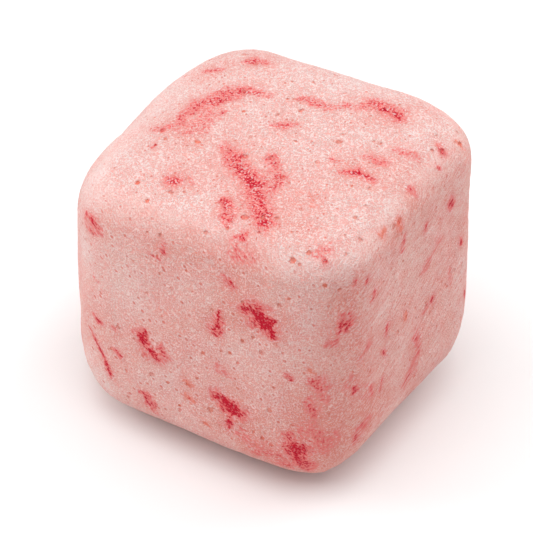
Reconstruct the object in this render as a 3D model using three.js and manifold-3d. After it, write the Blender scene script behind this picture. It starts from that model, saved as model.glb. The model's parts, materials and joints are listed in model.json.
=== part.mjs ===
// Freeze-dried strawberry yogurt bite: one soft-edged block of dry pink foam, near a cube, with low
// lumps and open pores, resting on its flat underside.
// Millimetres, +Z up, origin at the middle of the underside. The -Y side and the +X side meet at
// the front corner.

import * as THREE from "three";
import { MeshSurfaceSampler } from "three/addons/math/MeshSurfaceSampler.js";
import { mergeVertices } from "three/addons/utils/BufferGeometryUtils.js";
import Module from "manifold-3d";

const wasm = await Module();
wasm.setup();

const width = 20.0; // along X
const depth = 17.1; // along Y
const height = 17.3; // along Z

// Radii of the four upright corners.
const corners = {
  left: { x: -1, y: -1, radius: 6.8 },
  front: { x: 1, y: -1, radius: 3.5 },
  right: { x: 1, y: 1, radius: 5.0 },
  back: { x: -1, y: 1, radius: 6.2 },
};

// Radii of the rounding over and under each side. A higher turning keeps a side's own rounding
// further towards its corners.
const sides = {
  minusY: { x: 0, y: -1, top: 1.75, bottom: 3.7 },
  plusX: { x: 1, y: 0, top: 1.9, bottom: 5.0 },
  plusY: { x: 0, y: 1, top: 4.7, bottom: 4.5 },
  minusX: { x: -1, y: 0, top: 6.5, bottom: 3.4 },
};
const turning = 3;

// How far the middle of each face swells out of its flat plane.
const swell = { plusX: 0.06, minusX: 0.1, plusY: 0.06, minusY: 0.54, top: 0.23 };

// The top leans a little over the base, towards +Y, and rises towards +X and +Y.
const lean = 0.13;
const rise = { x: 0.37, y: 0.81 };

// Faces along each side of the cube, and how much closer they lie at its rounded edges.
const grid = { steps: 22, bunching: 0.25 };

// The flat square spot that the bite rests on, and how the underside rises around it. The reach and
// the slope are shares of half the width.
const foot = { reach: bunched(8 / grid.steps), slope: 0.15, lift: 0.06 };

// Low waves in the surface, by their length and height, which fade out near the underside.
const lumps = { count: 30, height: 0.01, shortest: 3.0, longest: 8.0, fadeHeight: 4.5 };

// Balls cut out of the surface: openness is how far their middles lie outside it, in radii, and a
// higher rarity leaves fewer large ones. None opens lower than the floor.
const pores = {
  count: 64,
  smallest: 0.16,
  largest: 0.34,
  rarity: 3,
  openness: 0.35,
  spacing: 0.6,
  floor: 1.5,
  roundness: 1,
};

const seed = 19;
const weldDistance = 1e-4;

// Repeatable random numbers from 0 to 1.
function randomSource(start) {
  const modulus = 2 ** 32;
  const multiplier = 1664525;
  const increment = 1013904223;
  let state = start;
  return () => {
    state = (multiplier * state + increment) % modulus;
    return state / modulus;
  };
}

// Moves evenly spaced places from -1 to 1 closer together at both ends.
function bunched(t) {
  return (1 + grid.bunching) * t - grid.bunching * t ** 3;
}

// The upright radius, which changes evenly between the four corners; x and y run from -1 to 1.
function uprightRadius(x, y) {
  return Object.values(corners).reduce(
    (sum, c) => sum + (c.radius * (1 + c.x * x) * (1 + c.y * y)) / 4,
    0,
  );
}

// The rounding over or under the place (x, y), which turns from side to side round the corners.
function edgeRadius(name, x, y) {
  const shares = Object.values(sides).map((s) => Math.max(s.x * x + s.y * y, 0) ** turning);
  const total = shares.reduce((sum, share) => sum + share, 0);
  const radii = Object.values(sides).map((s, i) => s[name] * shares[i]);
  return total > 0 ? radii.reduce((sum, radius) => sum + radius, 0) / total : 0;
}

// Turns the square end of a step (a, b) into a round one of the same reach.
function roundOff(a, b) {
  const reach = Math.max(Math.abs(a), Math.abs(b));
  const length = Math.hypot(a, b);
  return length > 0 ? reach / length : 1;
}

// The smooth body: takes a point on the cube from -1 to 1 to its place on the rounded bite.
function bodyPoint(cube) {
  const half = new THREE.Vector3(width / 2, depth / 2, height / 2);
  const upright = uprightRadius(cube.x, cube.y);
  const edge = edgeRadius(cube.z > 0 ? "top" : "bottom", cube.x, cube.y);
  const box = cube.clone().multiply(half);

  // Seen from above: the rounded outline, how far inside it the point is, and which way is out.
  const innerX = THREE.MathUtils.clamp(box.x, upright - half.x, half.x - upright);
  const innerY = THREE.MathUtils.clamp(box.y, upright - half.y, half.y - upright);
  const stepX = box.x - innerX;
  const stepY = box.y - innerY;
  const reach = Math.max(Math.abs(stepX), Math.abs(stepY));
  const planRound = roundOff(stepX, stepY);
  const gapX = half.x - Math.abs(box.x);
  const gapY = half.y - Math.abs(box.y);
  const inset = reach > 0 ? upright - reach : Math.min(gapX, gapY);
  const out = new THREE.Vector2(stepX, stepY);
  if (reach === 0) out.set(gapX < gapY ? Math.sign(box.x) : 0, gapX < gapY ? 0 : Math.sign(box.y));
  out.normalize();

  // Seen from the side: the rounding over the top or under the base.
  const side = Math.abs(box.z);
  const insetStart = Math.max(inset, edge);
  const sideStart = Math.min(side, half.z - edge);
  const sideRound = roundOff(inset - insetStart, side - sideStart);
  const newInset = insetStart + (inset - insetStart) * sideRound;
  const z = Math.sign(box.z) * (sideStart + (side - sideStart) * sideRound);
  const point = new THREE.Vector3(
    innerX + stepX * planRound + out.x * (inset - newInset),
    innerY + stepY * planRound + out.y * (inset - newInset),
    z,
  );

  // The soft unevenness of the whole: swollen faces, a leaning top, a sloping top face and a foot.
  const u = point.x / half.x;
  const v = point.y / half.y;
  const w = point.z / half.z;
  const upper = (w + 1) / 2;
  point.x += u * Math.abs(u) * (u > 0 ? swell.plusX : swell.minusX) * (1 - v * v) * (1 - w * w);
  point.y += v * Math.abs(v) * (v > 0 ? swell.plusY : swell.minusY) * (1 - u * u) * (1 - w * w);
  point.z += upper * (rise.x * u + rise.y * v + swell.top * (1 - u * u) * (1 - v * v));
  point.y += lean * w;
  const pastFoot = Math.max(Math.abs(cube.x), Math.abs(cube.y)) - foot.reach;
  const offFoot = THREE.MathUtils.clamp(pastFoot / foot.slope, 0, 1);
  point.z += half.z + foot.lift * offFoot * (1 - upper);
  return point;
}

// A geometry whose faces share their vertices, with smooth normals.
function weld(geometry) {
  const bare = new THREE.BufferGeometry();
  bare.setAttribute("position", geometry.getAttribute("position"));
  bare.setIndex(geometry.index);
  const welded = mergeVertices(bare, weldDistance);
  welded.computeVertexNormals();
  return welded;
}

// The rounded body, smooth all over.
function makeSmoothBody() {
  const cubeGrid = new THREE.BoxGeometry(2, 2, 2, grid.steps, grid.steps, grid.steps);
  const places = cubeGrid.getAttribute("position");
  const cube = new THREE.Vector3();
  for (let i = 0; i < places.count; i++) {
    cube.fromBufferAttribute(places, i);
    cube.set(bunched(cube.x), bunched(cube.y), bunched(cube.z));
    places.setXYZ(i, ...bodyPoint(cube));
  }
  return weld(cubeGrid);
}

// Moves the surface out and in along its normals by a sum of slow waves in space.
function addLumps(geometry, random) {
  const waves = Array.from({ length: lumps.count }, () => {
    const turn = random() * 2 * Math.PI;
    const climb = 2 * random() - 1;
    const flat = Math.sqrt(1 - climb * climb);
    const direction = new THREE.Vector3(flat * Math.cos(turn), flat * Math.sin(turn), climb);
    const length = THREE.MathUtils.lerp(lumps.shortest, lumps.longest, random());
    return { step: direction.multiplyScalar((2 * Math.PI) / length), phase: random() * 2 * Math.PI };
  });
  const places = geometry.getAttribute("position");
  const normals = geometry.getAttribute("normal");
  const point = new THREE.Vector3();
  const normal = new THREE.Vector3();
  for (let i = 0; i < places.count; i++) {
    point.fromBufferAttribute(places, i);
    normal.fromBufferAttribute(normals, i);
    const lift = waves.reduce((sum, wave) => sum + Math.sin(point.dot(wave.step) + wave.phase), 0);
    const fade = THREE.MathUtils.smoothstep(point.z, 0, lumps.fadeHeight);
    point.addScaledVector(normal, lift * lumps.height * fade);
    places.setXYZ(i, ...point);
  }
  geometry.computeVertexNormals();
  return geometry;
}

function toSolid(geometry) {
  return new wasm.Manifold(
    new wasm.Mesh({
      numProp: 3,
      vertProperties: new Float32Array(geometry.getAttribute("position").array),
      triVerts: new Uint32Array(geometry.index.array),
    }),
  );
}

function toGeometry(solid) {
  const mesh = solid.getMesh();
  const places = new Float32Array(mesh.numVert * 3);
  for (let i = 0; i < mesh.numVert; i++) {
    places.set(mesh.vertProperties.subarray(i * mesh.numProp, i * mesh.numProp + 3), i * 3);
  }
  const geometry = new THREE.BufferGeometry();
  geometry.setAttribute("position", new THREE.BufferAttribute(places, 3));
  geometry.setIndex(new THREE.BufferAttribute(new Uint32Array(mesh.triVerts), 1));
  geometry.computeVertexNormals();
  return geometry;
}

// Open pores over the whole surface but the underside, as solid balls that touch no other.
function makePores(body, random) {
  const sampler = new MeshSurfaceSampler(new THREE.Mesh(body)).setRandomGenerator(random).build();
  const normal = new THREE.Vector3();
  const made = [];
  while (made.length < pores.count) {
    const centre = new THREE.Vector3();
    sampler.sample(centre, normal);
    const radius = THREE.MathUtils.lerp(pores.smallest, pores.largest, random() ** pores.rarity);
    centre.addScaledVector(normal, radius * pores.openness);
    const clear = made.every(
      (other) => other.centre.distanceTo(centre) > other.radius + radius + pores.spacing,
    );
    if (clear && centre.z > pores.floor) made.push({ centre, radius });
  }
  return made.map(({ centre, radius }) => {
    const ball = new THREE.IcosahedronGeometry(radius, pores.roundness);
    ball.translate(centre.x, centre.y, centre.z);
    return toSolid(weld(ball));
  });
}

// Puts the middle of the underside's bounding box at the origin.
function standAtOrigin(geometry) {
  geometry.computeBoundingBox();
  const { min, max } = geometry.boundingBox;
  return geometry.translate(-(min.x + max.x) / 2, -(min.y + max.y) / 2, -min.z);
}

const random = randomSource(seed);
const body = addLumps(makeSmoothBody(), random);
const porous = makePores(body, random).reduce((rest, pore) => rest.subtract(pore), toSolid(body));

const bite = new THREE.Mesh(
  standAtOrigin(toGeometry(porous)),
  new THREE.MeshStandardMaterial({ color: 0xf1b3ad, roughness: 0.9, metalness: 0 }),
);
bite.name = "yogurt_bite";

const yogurtBite = new THREE.Group();
yogurtBite.add(bite);

export default yogurtBite;
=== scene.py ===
# Freeze-dried strawberry yogurt bite: one soft-edged cube of dry pink foam with crimson fruit
# marbling and open pores, on a pale floor. Lengths in the dictionaries are millimetres, and
# places marked as pixels are read off the 533 x 533 photograph.

import json
import math

import bpy
import numpy as np
from mathutils import Matrix, Vector
from mathutils.bvhtree import BVHTree

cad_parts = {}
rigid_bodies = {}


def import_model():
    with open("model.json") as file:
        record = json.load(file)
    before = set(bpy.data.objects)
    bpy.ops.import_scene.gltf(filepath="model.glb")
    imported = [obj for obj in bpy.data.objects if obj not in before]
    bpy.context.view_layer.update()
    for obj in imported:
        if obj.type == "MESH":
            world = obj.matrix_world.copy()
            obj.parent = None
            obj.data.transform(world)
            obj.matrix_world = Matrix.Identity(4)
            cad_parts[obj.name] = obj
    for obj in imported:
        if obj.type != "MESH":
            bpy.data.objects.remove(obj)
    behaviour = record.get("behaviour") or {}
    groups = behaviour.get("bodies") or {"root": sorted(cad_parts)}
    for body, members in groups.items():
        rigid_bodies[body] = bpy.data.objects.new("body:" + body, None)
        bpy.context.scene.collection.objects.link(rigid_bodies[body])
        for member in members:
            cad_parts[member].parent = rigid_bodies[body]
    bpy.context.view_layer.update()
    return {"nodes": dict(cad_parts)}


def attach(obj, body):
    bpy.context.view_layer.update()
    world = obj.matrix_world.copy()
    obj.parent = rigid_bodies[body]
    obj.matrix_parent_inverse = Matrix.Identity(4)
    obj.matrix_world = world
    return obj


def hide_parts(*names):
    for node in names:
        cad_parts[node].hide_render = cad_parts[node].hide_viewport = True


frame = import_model()
mm = 0.001
nearZero = 1e-9


# Node maths: a Wire is one output socket, so masks are written as sums and products.
class Wire:
    def __init__(self, bench, socket):
        self.bench = bench
        self.socket = socket

    def math(self, operation, *others):
        return self.bench.math(operation, self, *others)

    def __add__(self, other):
        return self.math("ADD", other)

    __radd__ = __add__

    def __sub__(self, other):
        return self.math("SUBTRACT", other)

    def __rsub__(self, other):
        return self.bench.math("SUBTRACT", other, self)

    def __mul__(self, other):
        return self.math("MULTIPLY", other)

    __rmul__ = __mul__

    def __truediv__(self, other):
        return self.math("DIVIDE", other)

    def __pow__(self, other):
        return self.math("POWER", other)

    def __neg__(self):
        return self.math("MULTIPLY", -1.0)

    def __abs__(self):
        return self.math("ABSOLUTE")

    def __gt__(self, other):
        return self.math("GREATER_THAN", other)

    def __lt__(self, other):
        return self.math("LESS_THAN", other)

    def least(self, other):
        return self.math("MINIMUM", other)

    def most(self, other):
        return self.math("MAXIMUM", other)

    def clamp(self):
        return self.most(0.0).least(1.0)


class NodeBench:
    def __init__(self, tree):
        self.tree = tree

    # Settings are set first, then each input by its name or number.
    def add(self, kind, settings=None, inputs=None, out=0):
        made = self.tree.nodes.new(kind)
        for name, value in (settings or {}).items():
            setattr(made, name, value)
        for name, value in (inputs or {}).items():
            if isinstance(value, Wire):
                self.tree.links.new(value.socket, made.inputs[name])
            else:
                made.inputs[name].default_value = value
        return Wire(self, made.outputs[out]) if out is not None else made

    def math(self, operation, *values):
        return self.add("ShaderNodeMath", {"operation": operation}, dict(enumerate(values)))

    def split(self, vector):
        made = self.add("ShaderNodeSeparateXYZ", None, {0: vector}, None)
        return [Wire(self, socket) for socket in made.outputs]

    def join(self, x, y, z):
        return self.add("ShaderNodeCombineXYZ", None, {0: x, 1: y, 2: z})

    def vector(self, operation, *values, out=0):
        return self.add("ShaderNodeVectorMath", {"operation": operation}, dict(enumerate(values)), out)

    def scaled(self, vector, factor):
        return self.add("ShaderNodeVectorMath", {"operation": "SCALE"}, {0: vector, "Scale": factor})

    def noise(self, place, scale, detail=2.0, roughness=0.5, distortion=0.0, out=0):
        return self.add("ShaderNodeTexNoise", None, {
            "Vector": place, "Scale": scale, "Detail": detail, "Roughness": roughness,
            "Distortion": distortion}, out)

    # Runs from 0 to 1 softly while the value goes from low to high.
    def smooth(self, value, low, high):
        return self.add("ShaderNodeMapRange", {"interpolation_type": "SMOOTHSTEP"}, {
            "Value": value, "From Min": low, "From Max": high})

    def mix(self, factor, first, second):
        return self.add("ShaderNodeMix", {"data_type": "RGBA"}, {0: factor, 6: first, 7: second}, 2)

    # Lays colours over the base one after another, each with its factor.
    def layered(self, base, *layers):
        for factor, colour in layers:
            base = self.mix(factor, base, colour)
        return base


def rgba(colour):
    return (*colour, 1.0)


# For a new material or world: clears its nodes
def emptyBench(owner):
    owner.use_nodes = True
    owner.node_tree.nodes.clear()
    return NodeBench(owner.node_tree)


def inScene(name, data):
    made = bpy.data.objects.new(name, data)
    bpy.context.collection.objects.link(made)
    return made


photoView = {
    "pixels": 533,
    "azimuth": 33.776,  # degrees
    "elevation": 38.521,
    "roll": -0.770,
    "distance": 241.41,
    "focalPixels": 4333.76,
    "target": (0.0, 0.0, 9.0),
    "targetRight": -2.001,  # pixels from the middle of the picture to the target
    "targetDown": -15.167,
    "sensor": 36.0,
    "nearest": 5.0,  # where the camera's view starts and ends
    "farthest": 10000.0,
}

pixelSize = photoView["distance"] / photoView["focalPixels"]


# The way from the bite to a camera or lamp at these angles in degrees
def wayTo(azimuth, elevation):
    turn, climb = math.radians(azimuth), math.radians(elevation)
    flat = math.cos(climb)
    return Vector((math.sin(turn) * flat, -math.cos(turn) * flat, math.sin(climb)))


# Camera
def viewAxes():
    turn = math.radians(photoView["azimuth"])
    roll = math.radians(photoView["roll"])
    back = wayTo(photoView["azimuth"], photoView["elevation"])
    right = Vector((math.cos(turn), math.sin(turn), 0.0))
    up = back.cross(right)
    rolledRight = right * math.cos(roll) + up * math.sin(roll)
    rolledUp = up * math.cos(roll) - right * math.sin(roll)
    aim = Vector(photoView["target"])
    aim -= rolledRight * photoView["targetRight"] * pixelSize
    aim += rolledUp * photoView["targetDown"] * pixelSize
    return rolledRight, rolledUp, back, aim + back * photoView["distance"]


def makeCamera():
    right, up, back, eye = viewAxes()
    data = bpy.data.cameras.new("photoCamera")
    data.sensor_width = photoView["sensor"]
    data.lens = photoView["focalPixels"] * photoView["sensor"] / photoView["pixels"]
    data.clip_start = photoView["nearest"] * mm
    data.clip_end = photoView["farthest"] * mm
    place = Matrix((right, up, back)).transposed().to_4x4()
    place.translation = eye * mm
    camera = inScene("photoCamera", data)
    camera.matrix_world = place
    bpy.context.scene.camera = camera


makeCamera()
print("camera made")


solidNode = frame["nodes"]["yogurt_bite"]
solidSkin = BVHTree.FromObject(solidNode, bpy.context.evaluated_depsgraph_get())


# Where a pixel of the photograph lands on the solid, in millimetres
def placeAtPixel(x, y):
    right, up, back, eye = viewAxes()
    half = photoView["pixels"] / 2
    ray = right * (x - half) - up * (y - half) - back * photoView["focalPixels"]
    hit = solidSkin.ray_cast(eye * mm, ray.normalized())[0]
    return hit / mm if hit is not None else None


def nearestOnSkin(place):
    return solidSkin.find_nearest(place * mm)[0] / mm


# The same rule and numbers as the solid that this piece stands for.
biteSize = {
    "width": 20.0,  # along X
    "depth": 17.1,  # along Y
    "height": 17.3,
    "left corner": 6.8,
    "front corner": 3.5,
    "right corner": 5.0,
    "back corner": 6.2,
    "minus y top": 1.75,
    "minus y bottom": 3.7,
    "plus x top": 1.9,
    "plus x bottom": 5.0,
    "plus y top": 4.7,
    "plus y bottom": 4.5,
    "minus x top": 6.5,
    "minus x bottom": 3.4,
    "swell plus x": 0.06,
    "swell minus x": 0.1,
    "swell plus y": 0.06,
    "swell minus y": 0.54,
    "swell top": 0.23,
    "lean": 0.13,  # towards +Y
    "rise x": 0.37,
    "rise y": 0.81,
    "foot slope": 0.15,  # share of half the width
    "foot lift": 0.06,
    "lump height": 0.01,
    "lump fade": 4.5,
}

biteMesh = {
    "steps": 114,  # faces along each side of the cube
    "bunching": 0.25,
    "turning": 3.0,  # a higher one keeps a side's own rounding further towards its corners
    "innerLimit": 1e-6,
    "solidSteps": 22,
    "footSteps": 8,  # where the flat spot ends, in steps of the solid
    "lumpCount": 30,
    "lumpShortest": 3.0,
    "lumpLongest": 8.0,
    "seed": 19,
}

foamRelief = {
    "swellScale": 0.75,  # waves to the millimetre
    "swellHeight": 0.08,
    "grainScale": 2.3,
    "grainHeight": 0.07,
    "fadeStart": 0.05,  # heights over the floor where the relief starts and is full
    "fade": 1.6,
}

# Soft rises and dips in the skin near the outline and at the front corner: x, y and radius in
# pixels, and height.
skinRises = {
    "far ridge": (374, 88, 32, 0.13),
    "far right corner": (438, 114, 26, -0.10),
    "front corner": (332, 267, 22, 0.19),
    "left back": (122, 137, 24, 0.09),
    "left side": (83, 203, 22, -0.07),
}

# The crease over the left face, from left to right: x and y in pixels, and height.
leftCrease = {
    "radius": 15,
    "points": [
        (135, 207, 0.06), (150, 210, 0.09), (165, 214, 0.1), (180, 218, 0.1), (195, 222, 0.1),
        (210, 226, 0.12), (225, 230, 0.14), (240, 234, 0.15), (255, 239, 0.15), (270, 244, 0.15),
        (285, 248, 0.13), (300, 253, 0.1),
    ],
}

openPores = {
    "spacing": 0.55,
    "density": 0.27,  # to the square millimetre
    "smallest": 0.075,
    "largest": 0.19,
    "rarity": 2.0,
    "floor": 1.3,
    "clearance": 0.35,  # between a pore of the rule and a marked one
    "openness": 0.52,  # how far the middle lies outside the surface, in radii
    "seed": 7,
}

poreShape = {"narrowest": 0.8, "widest": 1.3, "turn": 6.28, "subdivisions": 2, "ruleShade": 0.6}

# Larger pores that the photograph shows: x, y and width in pixels.
markedPores = [
    (293.3, 260, 7), (308.3, 254, 5.5), (325, 284.5, 6), (269.5, 410, 8.5), (205.8, 424.5, 8),
    (211, 410, 7), (179.5, 405.5, 4.2), (168, 382.5, 5), (125.8, 370.5, 5.5), (242.5, 341.3, 5),
    (230, 352.5, 4.5), (221, 351, 4), (203, 353, 4.2), (253, 337.5, 4), (273.8, 387.5, 3.5),
    (186, 270.8, 4), (148, 201.8, 4.5), (133, 260.8, 3), (289, 299, 4), (187, 384, 5),
    (271, 445, 6), (244.5, 156.3, 7.5), (198, 141.3, 7.8), (165, 138.8, 4.8), (155.8, 145, 3.5),
    (339.5, 140.8, 8), (244.3, 111.3, 5), (287.5, 98.8, 3), (313, 82.5, 3.5),
    (373.8, 141.3, 4), (355, 217.5, 5), (271, 157.5, 5), (282.5, 177.5, 4.6), (137.5, 182.5, 4.5),
    (245, 218, 6.5), (300.8, 110.5, 6), (442.5, 151, 5), (460, 143.8, 4.5), (403.3, 261, 4.5),
    (406, 316, 4), (262.5, 217.5, 6), (252.5, 181, 4.5), (383.5, 110, 5), (326, 261.5, 3.5),
    (229, 230, 3.5), (157, 256, 3), (415, 307.5, 3.5), (352, 186, 3), (296, 141, 3.5),
    (262.5, 438.3, 4.5), (254, 431.5, 3.5), (256, 444.8, 4),
]


# Repeatable random numbers from 0 to 1, the same as the solid's.
def randomSource(start):
    state = start
    while True:
        state = (1664525 * state + 1013904223) % 2**32
        yield state / 2**32


# The bite's body as a node tree
def inputSockets(tree, sizes):
    found = {}
    for name in sizes:
        item = tree.interface.new_socket(name=name, in_out="INPUT", socket_type="NodeSocketFloat")
        found[name] = item.identifier
    return found


def uprightRadius(size, x, y):
    corners = {"left": (-1, -1), "front": (1, -1), "right": (1, 1), "back": (-1, 1)}
    total = 0.0
    for name, (wayX, wayY) in corners.items():
        total = (x * wayX + 1.0) * (y * wayY + 1.0) / 4.0 * size[f"{name} corner"] + total
    return total


# The rounding over or under a side turns into the next side's round the corner.
def edgeRadius(size, part, x, y):
    sides = {"plus x": x, "minus x": -x, "plus y": y, "minus y": -y}
    shareSum, radiusSum = 0.0, 0.0
    for name, along in sides.items():
        share = along.most(0.0) ** biteMesh["turning"]
        shareSum = share + shareSum
        radiusSum = share * size[f"{name} {part}"] + radiusSum
    return radiusSum / shareSum.most(nearZero)


def roundOff(a, b):
    length = (a * a + b * b).math("SQRT").most(nearZero)
    return abs(a).most(abs(b)) / length


def clampBetween(value, limit):
    return value.least(limit).most(-limit)


def bodyPlace(bench, size, cube):
    x, y, z = bench.split(cube)
    halfX, halfY, halfZ = (size[name] / 2.0 for name in ("width", "depth", "height"))
    isTop = z > 0.0
    upright = uprightRadius(size, x, y)
    edge = isTop * edgeRadius(size, "top", x, y) + (1.0 - isTop) * edgeRadius(size, "bottom", x, y)
    boxX, boxY, boxZ = x * halfX, y * halfY, z * halfZ

    # Seen from above: the rounded outline, the distance inside it, and which way is out
    innerX = clampBetween(boxX, halfX - upright)
    innerY = clampBetween(boxY, halfY - upright)
    stepX, stepY = boxX - innerX, boxY - innerY
    reach = abs(stepX).most(abs(stepY))
    planRound = roundOff(stepX, stepY)
    gapX, gapY = halfX - abs(boxX), halfY - abs(boxY)
    isInner = reach < biteMesh["innerLimit"]
    inset = isInner * gapX.least(gapY) + (1.0 - isInner) * (upright - reach)
    length = (stepX * stepX + stepY * stepY).math("SQRT").most(nearZero)
    nearerX = gapX < gapY
    outX = stepX / length + isInner * nearerX * boxX.math("SIGN")
    outY = stepY / length + isInner * (1.0 - nearerX) * boxY.math("SIGN")

    # Seen from the side: the rounding over the top or under the base
    side = abs(boxZ)
    insetStart = inset.most(edge)
    sideStart = side.least(halfZ - edge)
    sideRound = roundOff(inset - insetStart, side - sideStart)
    shift = inset - (insetStart + (inset - insetStart) * sideRound)
    roundX = innerX + stepX * planRound + outX * shift
    roundY = innerY + stepY * planRound + outY * shift
    roundZ = boxZ.math("SIGN") * (sideStart + (side - sideStart) * sideRound)

    # The soft unevenness of the whole
    u, v, w = roundX / halfX, roundY / halfY, roundZ / halfZ
    upper = (w + 1.0) / 2.0
    flatX, flatY, flatZ = 1.0 - u * u, 1.0 - v * v, 1.0 - w * w
    isPlusX, isPlusY = u > 0.0, v > 0.0
    swellX = isPlusX * size["swell plus x"] + (1.0 - isPlusX) * size["swell minus x"]
    swellY = isPlusY * size["swell plus y"] + (1.0 - isPlusY) * size["swell minus y"]
    placeX = roundX + u * abs(u) * swellX * flatY * flatZ
    placeY = roundY + v * abs(v) * swellY * flatX * flatZ + w * size["lean"]
    climb = u * size["rise x"] + v * size["rise y"] + flatX * flatY * size["swell top"]
    footReach = bunched(biteMesh["footSteps"] / biteMesh["solidSteps"])
    offFoot = ((abs(x).most(abs(y)) - footReach) / size["foot slope"]).clamp()
    lift = offFoot * (1.0 - upper) * size["foot lift"]
    return bench.join(placeX, placeY, roundZ + halfZ + upper * climb + lift)


# Moves places from -1 to 1 closer together at both ends
def bunched(t):
    return t * (1.0 + biteMesh["bunching"]) - t * t * t * biteMesh["bunching"]


# The slow lumps of the solid, wave by wave, so both have the same outline
def lumpLift(bench, size, place):
    source = randomSource(biteMesh["seed"])
    total = 0.0
    for _ in range(biteMesh["lumpCount"]):
        turn = next(source) * 2 * math.pi
        climb = 2 * next(source) - 1
        flat = math.sqrt(1 - climb * climb)
        share = next(source)
        length = biteMesh["lumpShortest"] * (1 - share) + biteMesh["lumpLongest"] * share
        step = Vector((flat * math.cos(turn), flat * math.sin(turn), climb)) * 2 * math.pi / length
        phase = next(source) * 2 * math.pi
        total = (bench.vector("DOT_PRODUCT", place, step, out="Value") + phase).math("SINE") + total
    fade = bench.smooth(bench.split(place)[2], 0.0, size["lump fade"])
    return total * size["lump height"] * fade


def foamLift(bench, size, place):
    swellWave = bench.noise(place, size["swellScale"], 2.0) - 0.5
    grainWave = bench.noise(place, size["grainScale"], 2.0, 0.6) - 0.5
    fade = bench.smooth(bench.split(place)[2], size["fadeStart"], size["fade"])
    rises = 0.0
    crease = [(x, y, leftCrease["radius"], height) for x, y, height in leftCrease["points"]]
    for x, y, radius, height in (*skinRises.values(), *crease):
        away = bench.vector("DISTANCE", place, placeAtPixel(x, y), out="Value") / (radius * pixelSize)
        rises = (away * away * -1.0).math("EXPONENT") * height + rises
    return (swellWave * size["swellHeight"] + grainWave * size["grainHeight"]) * fade + rises


def moved(bench, geometry, offset):
    return bench.add("GeometryNodeSetPosition", None, {"Geometry": geometry, "Offset": offset})


def alongNormal(bench, geometry, lift):
    normal = bench.add("GeometryNodeInputNormal")
    return moved(bench, geometry, bench.scaled(normal, lift))


def randomVector(bench, low, high, seed):
    return bench.add("FunctionNodeRandomValue", {"data_type": "FLOAT_VECTOR"}, {
        0: (low, low, low), 1: (high, high, high), "Seed": seed})


# Balls to cut out: some spread by rule, and the marked ones
def poreBalls(bench, size, body, marksObject):
    position = bench.add("GeometryNodeInputPosition")
    marks = bench.add("GeometryNodeObjectInfo", {"transform_space": "ORIGINAL"},
                      {"Object": marksObject}, "Geometry")
    spread = bench.add("GeometryNodeDistributePointsOnFaces", {"distribute_method": "POISSON"}, {
        "Mesh": body, "Distance Min": size["spacing"], "Density Max": size["density"],
        "Seed": openPores["seed"]}, None)
    points = Wire(bench, spread.outputs["Points"])
    toMarks = bench.add("GeometryNodeProximity", {"target_element": "POINTS"}, {0: marks}, "Distance")
    tooLow = bench.split(position)[2] < size["floor"]
    tooNear = toMarks < size["clearance"]
    points = bench.add("GeometryNodeDeleteGeometry", {"domain": "POINT"}, {
        "Geometry": points, "Selection": tooLow.most(tooNear)})
    chance = bench.add("FunctionNodeRandomValue", {"data_type": "FLOAT"},
                       {"Seed": openPores["seed"] + 1}, 1)
    radius = size["smallest"] + (chance ** size["rarity"]) * (size["largest"] - size["smallest"])
    points = stored(bench, points, "poreRadius", radius)
    points = stored(bench, points, "poreShade", poreShape["ruleShade"])
    both = bench.add("GeometryNodeJoinGeometry", None, {0: points})
    bench.tree.links.new(marks.socket, both.socket.node.inputs[0])
    toBody = bench.add("GeometryNodeProximity", {"target_element": "FACES"}, {0: body}, "Position")
    both = bench.add("GeometryNodeSetPosition", None, {"Geometry": both, "Position": toBody})
    onSkin = bench.add("GeometryNodeSampleNearestSurface", {"data_type": "FLOAT_VECTOR"}, {
        "Mesh": body, "Value": bench.add("GeometryNodeInputNormal")})
    radiusField = named(bench, "poreRadius")
    slope = bench.add("GeometryNodeSampleNearestSurface", {"data_type": "FLOAT"}, {
        "Mesh": body, "Value": named(bench, "slope")})
    both = stored(bench, both, "slope", slope)
    both = moved(bench, both, bench.scaled(onSkin, radiusField * size["openness"]))
    ball = bench.add("GeometryNodeMeshIcoSphere", None, {
        "Radius": 1.0, "Subdivisions": poreShape["subdivisions"]}, "Mesh")
    ball = stored(bench, ball, "poreWall", 1.0)
    stretch = randomVector(bench, poreShape["narrowest"], poreShape["widest"], openPores["seed"] + 2)
    turn = randomVector(bench, 0.0, poreShape["turn"], openPores["seed"] + 3)
    rotation = bench.add("FunctionNodeEulerToRotation", None, {0: turn})
    balls = bench.add("GeometryNodeInstanceOnPoints", None, {
        "Points": both, "Instance": ball, "Rotation": rotation,
        "Scale": bench.scaled(stretch, radiusField)})
    return bench.add("GeometryNodeRealizeInstances", None, {0: balls})


def stored(bench, geometry, name, value):
    return bench.add("GeometryNodeStoreNamedAttribute", {"data_type": "FLOAT", "domain": "POINT"}, {
        "Geometry": geometry, "Name": name, "Value": value})


def named(bench, name):
    return bench.add("GeometryNodeInputNamedAttribute", {"data_type": "FLOAT"}, {"Name": name})


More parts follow.
